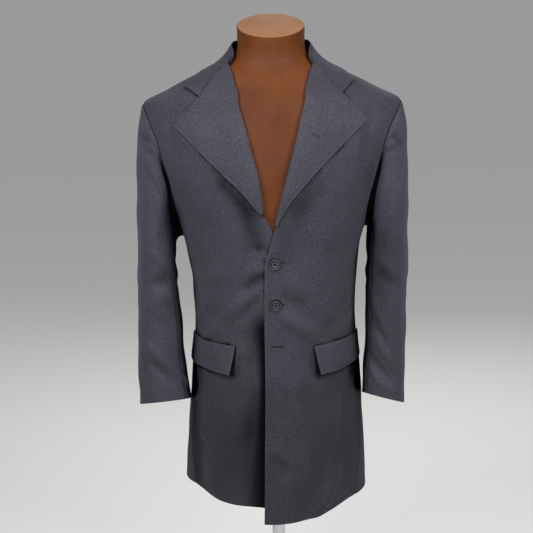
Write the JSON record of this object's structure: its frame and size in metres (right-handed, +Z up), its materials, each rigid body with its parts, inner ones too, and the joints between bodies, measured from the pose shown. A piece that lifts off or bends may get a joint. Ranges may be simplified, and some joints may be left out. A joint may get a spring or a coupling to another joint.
{
  "type": "frock coat on a dress form",
  "caption": "Long single-breasted frock coat in dark wool with notched lapels, pocket flaps and full sleeves, worn by a limbless dress form on a pole with a round base.",
  "frame": {"origin": "on the floor, at the centre of the round base's underside, under the pole", "axes": "+X towards the wearer's left, -Y the way the wearer faces, +Z up"},
  "size_m": [0.5196, 0.36, 1.3568],
  "materials": {
    "worsted": "close-woven dark worsted wool",
    "horn": "satin dark grey",
    "form_skin": "satin brown",
    "steel": "fine brushed"
  },
  "bodies": {
    "root": {"front_left": "worsted", "front_right": "worsted", "back_left": "worsted", "back_right": "worsted", "sleeve_upper_left": "worsted", "sleeve_under_left": "worsted", "sleeve_upper_right": "worsted", "sleeve_under_right": "worsted", "collar": "worsted", "lapel_left": "worsted", "lapel_right": "worsted", "flap_left": "worsted", "flap_right": "worsted", "button_top": "horn", "button_middle": "horn", "button_lower": "horn", "form_torso": "form_skin", "stand_pole": "steel", "stand_base": "steel"}
  },
  "joints": []
}
